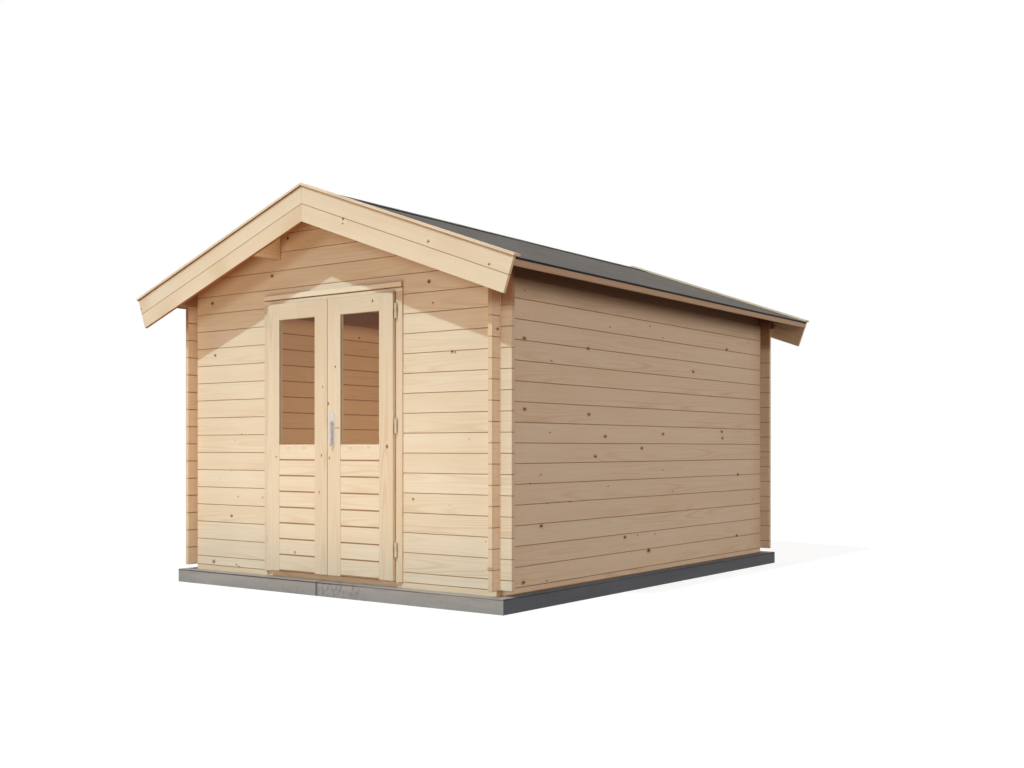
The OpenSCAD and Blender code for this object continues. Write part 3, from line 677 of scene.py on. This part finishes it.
def tubes(rings):
    # Closed tubes from an array of (tube, ring, point, 3): each ring is joined to the next by quads,
    # and the first and last ring are closed by a flat face
    count, length, around = rings.shape[:3]
    tube, ring, point = np.meshgrid(np.arange(count), np.arange(length - 1), np.arange(around), indexing="ij")
    base = (tube * length + ring) * around
    after = (point + 1) % around
    quads = np.stack([base + point, base + after, base + after + around, base + point + around], -1)
    first = np.arange(count)[:, None] * length * around + np.arange(around)[None, ::-1]
    last = (np.arange(count)[:, None] * length + length - 1) * around + np.arange(around)
    return rings.reshape(-1, 3), quads.reshape(-1, 4).tolist() + first.tolist() + last.tolist()


def together(*parts):
    # Several parts as one; each part's faces count their points on from the parts before it
    points, faces, offset = [], [], 0
    for partPoints, partFaces in parts:
        points.append(partPoints)
        faces += [[index + offset for index in face] for face in partFaces]
        offset += len(partPoints)
    return np.concatenate(points), faces


def turned(profile, steps, places, axis=(0, 0, 1)):
    # Each (radius, height) of the profile becomes a ring of points about the axis; one copy at each place
    forward = np.array(axis, float) / np.linalg.norm(axis)
    right = np.cross(forward, (0, 0, 1) if abs(forward[2]) < 0.9 else (1, 0, 0))
    right /= np.linalg.norm(right)
    angle = 2 * np.pi * np.arange(steps) / steps
    spoke = np.cos(angle)[:, None] * right + np.sin(angle)[:, None] * np.cross(forward, right)
    radius, height = np.array(profile, float).T
    ring = radius[:, None, None] * spoke + height[:, None, None] * forward
    return tubes(np.array(places, float)[:, None, None, :] + ring[None])


def addPiece(name, part, material, body, replaced=(), sharp=32):
    # Smooth shading, except at edges that are sharper than an angle in degrees
    points, faces = part
    mesh = bpy.data.meshes.new(name)
    mesh.from_pydata(points.tolist(), [], faces)
    shape = bmesh.new()
    shape.from_mesh(mesh)
    bmesh.ops.recalc_face_normals(shape, faces=shape.faces)
    shape.to_mesh(mesh)
    shape.free()
    mesh.polygons.foreach_set("use_smooth", np.ones(len(mesh.polygons), dtype=bool))
    mesh.set_sharp_from_angle(angle=math.radians(sharp))
    mesh.materials.append(material)
    piece = addObject(name, mesh)
    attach(piece, body)
    if replaced:
        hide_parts(*replaced)
    return piece


# Roof boards: a chamfered six-cornered end view, carried down the slope from the ridge to the eave

def roofBoards(side):
    # Height falls by the slope's tangent times x, and a board's number times its width gives its place
    low, high = np.array(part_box(side + "_roof_boards"))
    reach = max(-low[0], high[0])
    rise = reach * slopeTan
    thick = (high[2] - low[2] - rise) * slopeCos
    width = (high[1] - low[1]) / roofShape["boards"]
    gap, joint = roofShape["gap"] / 2, roofShape["joint"]
    corners = np.array([(gap, joint), (gap + joint, 0), (width - gap - joint, 0), (width - gap, joint),
                        (width - gap, thick), (gap, thick)])
    x = np.array([roofShape["apart"], reach])
    y = low[1] + width * np.arange(roofShape["boards"])[:, None] + corners[None, :, 0]
    z = low[2] + rise - x[:, None] * slopeTan + corners[None, :, 1] / slopeCos
    rings = np.zeros((roofShape["boards"], 2, 6, 3))
    rings[..., 0] = (x if side == "right" else -x)[None, :, None]
    rings[..., 1] = y[:, None, :]
    rings[..., 2] = z[None]
    addPiece(side + "_slope_boards", tubes(rings), roofPine, "cabin", [side + "_roof_boards"])


# Felt: the end view of a thin sheet, carried along the roof, with low waves that are a sum of sines and
# calm down towards the eave. Its path lies on the boards and turns down over the eave.

feltShape = {"thick": 0.0026, "turn": 0.003, "drop": 0.0095, "start": 0.003, "inset": 0.001,
             "stations": 121, "downSlope": 90, "wave": 0.0006, "calmFrom": 1.38, "calmAt": 1.58}
stripFelt = {"half": 0.15, "round": 0.006, "lift": 0.0006, "margin": 0.002, "points": 41}


def sheetEnd(path):
    # The outline of a sheet whose middle follows a path of (x, z)
    along = np.gradient(path, axis=0)
    away = np.stack([-along[:, 1], along[:, 0]], -1) / np.linalg.norm(along, axis=1)[:, None]
    away *= feltShape["thick"] / 2
    return np.concatenate([path + away, (path - away)[::-1]])


def carriedSheet(path, y0, y1, seed):
    # The end view at even steps along the roof, its height moved by three sines of x and y
    outline = sheetEnd(path)
    y = np.linspace(y0, y1, feltShape["stations"])[:, None]
    x, z = outline[None, :, 0], outline[None, :, 1]
    wave = np.sin(2.3 * y + 3.1 * x + seed) + 0.6 * np.sin(7.1 * y - 5.3 * x + 2 * seed)
    wave += 0.4 * np.sin(17.0 * y + 9.0 * x + 3 * seed)
    calm = np.interp(np.abs(x), [feltShape["calmFrom"], feltShape["calmAt"]], [1, 0])
    rings = np.stack(np.broadcast_arrays(x + 0 * y, y, z + feltShape["wave"] * wave * calm), -1)
    return tubes(rings[None])


def slopePath(distance, lift):
    # Points a given distance down the slope and above the face of the boards, as (x, z)
    lift = lift - roofShape["feltThick"]
    x = distance * slopeCos + lift * slopeSin
    return np.stack([x, ridgeTop - distance * slopeSin + lift * slopeCos], -1)


def feltSheet(side):
    # Straight down the slope, round an arc whose centre is square to the slope's end, and straight down
    low, high = np.array(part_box(side + "_roof_felt"))
    end = max(-low[0], high[0]) - feltShape["thick"] / 2 - feltShape["inset"]
    distance = np.linspace(feltShape["start"], (end - feltShape["turn"]) / slopeCos,
                           feltShape["downSlope"])
    slope = slopePath(distance, feltShape["thick"] / 2)
    angle = np.linspace(0, math.pi / 2 - pitchAngle, 6)[1:] + pitchAngle
    center = slope[-1] - feltShape["turn"] * np.array([slopeSin, slopeCos])
    bend = center + feltShape["turn"] * np.stack([np.sin(angle), np.cos(angle)], -1)
    drop = bend[-1] - np.linspace(0, feltShape["drop"], 4)[1:, None] * np.array([0, 1])
    path = np.concatenate([slope, bend, drop]) * (1 if side == "right" else -1, 1)
    addPiece(side + "_felt_sheet", carriedSheet(path, low[1], high[1], 1.0), felt, "cabin",
             [side + "_roof_felt"])


for side in ("left", "right"):
    roofBoards(side)
    feltSheet(side)

# The strip over the ridge falls by the root of its distance squared plus a small radius squared, so that
# it is round on top and straight farther down
across = np.linspace(-stripFelt["half"], stripFelt["half"], stripFelt["points"])
fall = (np.hypot(across, stripFelt["round"]) - stripFelt["round"]) * slopeTan
ridgePath = np.stack([across, ridgeTop + stripFelt["lift"] - fall], -1)
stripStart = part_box("front_cap_boards")[1][1] + stripFelt["margin"]
addPiece("ridge_felt_strip", carriedSheet(ridgePath, stripStart, -stripStart, 3.0), felt, "cabin")
print("stage 4: roof")


# Handle: a backplate whose rounded rim follows a stadium outline, and a lever swept along a bent path.
# The rim's pairs are (inset, rise); the other profiles' are (radius, rise). The screws are just past the
# ends of the straight part, and the cylinder and its keyway are below the lever's axis.

handleShape = {"rim": [(0.0, 0.0), (0.0, 0.0024), (0.0007, 0.0034), (0.0020, 0.0040)],
               "boss": [(0.011, 0.003), (0.011, 0.0105), (0.0103, 0.0115), (0.009, 0.012)],
               "cylinder": [(0.0085, 0.003), (0.0085, 0.0062), (0.0078, 0.0070), (0.004, 0.0072)],
               "screw": [(0.0036, 0.0035), (0.0036, 0.0042), (0.0028, 0.0049), (0.0012, 0.0053)],
               "keyway": [(0.0024, 0.0060), (0.0024, 0.0073), (0.0020, 0.0076)],
               "screwOut": 0.004, "cylinderDrop": 0.108, "keywayDrop": 0.1065, "axisDrop": 0.008,
               "corner": 0.010, "leverWidth": 0.020, "leverThick": 0.011, "neckRadius": 0.0078,
               "bow": 0.002, "tipGap": 0.004, "tipTaper": (0.9, 0.82), "squareness": 0.45,
               "flattenOver": 7, "rimPoints": 64, "leverPoints": 32}


def handlePlate():
    # Each ring of the rim is a circle, radius times cosine and sine, whose upper and lower halves are moved
    # apart by the straight part
    low, high = np.array(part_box("handle_plate"))
    x, radius = (low[0] + high[0]) / 2, (high[0] - low[0]) / 2
    middle, straight = (low[2] + high[2]) / 2, (high[2] - low[2]) / 2 - radius
    points = handleShape["rimPoints"]
    angle = 2 * np.pi * (np.arange(points) + 0.5) / points
    inset, rise = np.array(handleShape["rim"]).T
    rings = np.zeros((1, len(inset), points, 3))
    rings[0, ..., 0] = x + (radius - inset[:, None]) * np.cos(angle)
    rings[0, ..., 1] = leafFront - rise[:, None]
    rings[0, ..., 2] = middle + (radius - inset[:, None]) * np.sin(angle) + straight * np.sign(np.sin(angle))
    axis = (0, -1, 0)
    boss = turned(handleShape["boss"], 32, [(x, leafFront, leverAxis)], axis)
    cylinder = turned(handleShape["cylinder"], 32, [(x, leafFront, leverAxis - handleShape["cylinderDrop"])],
                      axis)
    reach = straight + handleShape["screwOut"]
    screws = turned(handleShape["screw"], 16,
                    [(x, leafFront, middle + reach), (x, leafFront, middle - reach)], axis)
    addPiece("handle_backplate", together(tubes(rings), boss, cylinder, screws), steel, "right_leaf",
             ["handle_plate"])
    slot = turned(handleShape["keyway"], 12, [(x, leafFront, leverAxis - handleShape["keywayDrop"])], axis)
    addPiece("handle_keyway", slot, keyway, "right_leaf")


def handleLever():
    # The path leaves the boss, turns down on a quarter circle and turns back at the tip. Its section is a
    # rounded oblong: x = a cos(t), across = b sin(t), each raised to a power below one.
    low, high = np.array(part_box("handle_lever"))
    x, half = (low[0] + high[0]) / 2, handleShape["leverThick"] / 2
    front, back, corner = low[1] + half, high[1], handleShape["corner"]
    turn = np.linspace(0, math.pi / 2, 9)
    neck = np.stack([np.linspace(back, front + corner, 5), np.full(5, leverAxis)], -1)
    elbow = np.stack([front + corner - corner * np.sin(turn), leverAxis - corner + corner * np.cos(turn)], -1)
    fall = np.linspace(leverAxis - corner, low[2] + half + corner, 14)
    share = (fall - fall[-1]) / (fall[0] - fall[-1])
    grip = np.stack([front + handleShape["bow"] * np.sin(np.pi * share), fall], -1)
    hook = np.stack([front + corner - corner * np.cos(turn),
                     low[2] + half + corner - corner * np.sin(turn)], -1)
    tip = np.stack([np.linspace(front + corner, high[1] - handleShape["tipGap"], 4),
                    np.full(4, low[2] + half)], -1)
    path = np.concatenate([neck, elbow[1:], grip[1:], hook[1:], tip[1:]])
    along = np.gradient(path, axis=0)
    along /= np.linalg.norm(along, axis=1)[:, None]
    flat = np.clip((np.arange(len(path)) - len(neck) + 1) / handleShape["flattenOver"], 0, 1)
    wide = handleShape["neckRadius"] + flat * (handleShape["leverWidth"] / 2 - handleShape["neckRadius"])
    thin = handleShape["neckRadius"] + flat * (half - handleShape["neckRadius"])
    wide[-1] *= handleShape["tipTaper"][0]
    thin[-1] *= handleShape["tipTaper"][1]
    points = handleShape["leverPoints"]
    angle = 2 * np.pi * np.arange(points) / points
    power = (1 - handleShape["squareness"] * flat)[:, None]
    outX = np.sign(np.cos(angle)) * np.abs(np.cos(angle)) ** power * wide[:, None]
    outN = np.sign(np.sin(angle)) * np.abs(np.sin(angle)) ** power * thin[:, None]
    rings = np.zeros((1, len(path), points, 3))
    rings[0, ..., 0] = x + outX
    rings[0, ..., 1] = path[:, :1] - along[:, 1:] * outN
    rings[0, ..., 2] = path[:, 1:] + along[:, :1] * outN
    addPiece("handle_bar", tubes(rings), steel, "lever", ["handle_lever"], sharp=50)


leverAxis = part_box("handle_lever")[1][2] - handleShape["axisDrop"]
handlePlate()
handleLever()

# Hinges: turned barrels with rounded shoulders, and the shanks that screw into the jamb and the leaf

hingeShape = {"levels": (0.275, 1.033, 1.737), "height": 0.092, "radius": 0.008, "shank": 0.004,
              "gap": 0.001}
low, high = np.array(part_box("right_leaf_hinges"))
r, h = hingeShape["radius"], (hingeShape["height"] - hingeShape["gap"]) / 2
barrel = [(0.55 * r, 0.0), (0.85 * r, 0.0006), (r, 0.0022), (r, h - 0.0010), (0.93 * r, h)]
barrelX, barrelY = high[0] - r, (low[1] + high[1]) / 2
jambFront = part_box("door_jambs")[0][1]
lowerPlaces = [(s * barrelX, barrelY, z) for s in (-1, 1) for z in hingeShape["levels"]]
shank = [(hingeShape["shank"], 0.0), (hingeShape["shank"], jambFront - barrelY)]
lowerHalves = together(turned(barrel, 32, lowerPlaces),
                       turned(shank, 16, [(x, y, z + h / 2) for x, y, z in lowerPlaces], (0, 1, 0)))
addPiece("hinge_lower_halves", lowerHalves, zinc, "cabin", ["frame_hinge_halves"])
leafEdge = -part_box("left_leaf_frame")[0][0]
for side, body in ((-1, "left_leaf"), (1, "right_leaf")):
    places = [(side * barrelX, barrelY, z + 2 * h + hingeShape["gap"]) for z in hingeShape["levels"]]
    shank = [(hingeShape["shank"], 0.0), (hingeShape["shank"], barrelX - leafEdge)]
    upperHalf = together(turned(barrel, 32, places, (0, 0, -1)),
                         turned(shank, 16, [(x, y, z - h / 2) for x, y, z in places], (-side, 0, 0)))
    addPiece(body + "_hinge_halves", upperHalf, zinc, body, [body + "_hinges"])

# A thin draught strip on the left leaf's meeting edge, with a rounded nose towards the right leaf

stripShape = {"thick": 0.0026, "back": 0.014, "front": 0.005, "margin": 0.004}
low, high = np.array(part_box("left_leaf_frame"))
nose = np.linspace(-math.pi / 2, math.pi / 2, 7)
depth = (stripShape["back"] - stripShape["front"]) / 2
outline = np.concatenate([[(0, -depth)], np.stack([stripShape["thick"] * (0.5 + 0.5 * np.cos(nose)),
                          depth * np.sin(nose)], -1), [(0, depth)]])
rings = np.zeros((1, 2, len(outline), 3))
rings[0, ..., 0] = high[0] + outline[:, 0]
rings[0, ..., 1] = low[1] + stripShape["front"] + depth + outline[:, 1]
rings[0, ..., 2] = np.array([low[2] + stripShape["margin"], high[2] - stripShape["margin"]])[:, None]
stripPine = pineMaterial("stripPine", "z", pitch=0.5, depth=-leafFront - 0.01, seed=12, share=0.0,
                         joint=False)
addPiece("meeting_strip", tubes(rings), stripPine, "left_leaf")
print("stage 5: door fittings")


# Light and floor. A sun is (strength, height, turn, width, colour), with its angles in degrees: the height
# is above the horizon, and the turn is from the front towards the right.

lightSetup = {
    "suns": {"key": (2.1, 50.0, 0.0, 1.5, (0.60, 0.84, 1.0)),
             "rightFill": (1.34, 9.0, 83.0, 36.0, (1.0, 0.87, 0.82)),
             "frontFill": (0.45, 12.0, 0.0, 14.0, (1.0, 1.0, 1.0)),
             "leftFill": (1.5, 12.0, 270.0, 40.0, (1.0, 0.9, 0.86)),
             "backFill": (1.5, 12.0, 180.0, 20.0, (1.0, 0.9, 0.86))},
    "sky": 0.16,
    "bounce": {"power": 110.0, "place": (0.0, -5.05, 0.012), "size": (3.6, 5.3), "color": (1.0, 0.74, 0.52)},
    "inside": {"power": 27.0, "place": (1.0, 0.0, 0.68), "size": (0.8, 2.6), "color": (1.0, 0.66, 0.43)}}
floorSetup = {"halfSize": 40.0, "shade": 0.03, "seenShade": 0.22, "glow": 0.86}


def addLamp(name, kind, power, color, place=(0, 0, 3), turn=(0, 0, 0), **settings):
    data = bpy.data.lights.new(name, kind)
    data.energy = power
    data.color = color
    for key, value in settings.items():
        setattr(data, key, value)
    lamp = addObject(name, data)
    lamp.location = place
    lamp.rotation_euler = turn
    lamp.visible_camera = lamp.visible_glossy = lamp.visible_transmission = False


for name, (power, height, turn, width, color) in lightSetup["suns"].items():
    addLamp(name, "SUN", power, color, turn=(math.radians(90 - height), 0, math.radians(turn)),
            angle=math.radians(width))
for name, turn in (("bounce", (math.pi, 0, 0)), ("inside", (0, math.radians(90), 0))):
    lamp = lightSetup[name]
    addLamp(name, "AREA", lamp["power"], lamp["color"], lamp["place"], turn, shape="RECTANGLE",
            size=lamp["size"][0], size_y=lamp["size"][1])


def seenDirectly(tree):
    path = addNode(tree, "ShaderNodeLightPath").outputs
    seen = calc(tree, "MAXIMUM", path["Is Camera Ray"], path["Is Glossy Ray"])
    return calc(tree, "MAXIMUM", seen, path["Is Transmission Ray"])


world = bpy.data.worlds.new("sky")
bpy.context.scene.world = world
world.use_nodes = True
tree = world.node_tree
tree.nodes.clear()
level = scaleAdd(tree, seenDirectly(tree), 1.0 - lightSetup["sky"], lightSetup["sky"])
background = addNode(tree, "ShaderNodeBackground", {"Color": white, "Strength": level})
addNode(tree, "ShaderNodeOutputWorld", {"Surface": background.outputs[0]})

r = floorSetup["halfSize"]
floorMesh = bpy.data.meshes.new("floor")
floorMesh.from_pydata([(-r, -r, 0), (r, -r, 0), (r, r, 0), (-r, r, 0)], [], [(0, 1, 2, 3)])
floor = addObject("floor", floorMesh)
floorMaterial, tree, shader = newMaterial("paleFloor", roughness=1.0, specularIorLevel=0.0,
                                          emissionColor=white)
seen = seenDirectly(tree)
shade, pale = floorSetup["shade"], floorSetup["seenShade"]
tree.links.new(mixColor(tree, seen, (shade, shade, shade, 1), (pale, pale, pale, 1)),
               shader.inputs["Base Color"])
tree.links.new(times(tree, seen, floorSetup["glow"]), shader.inputs["Emission Strength"])
floorMesh.materials.append(floorMaterial)

print("stage 6: light and floor")
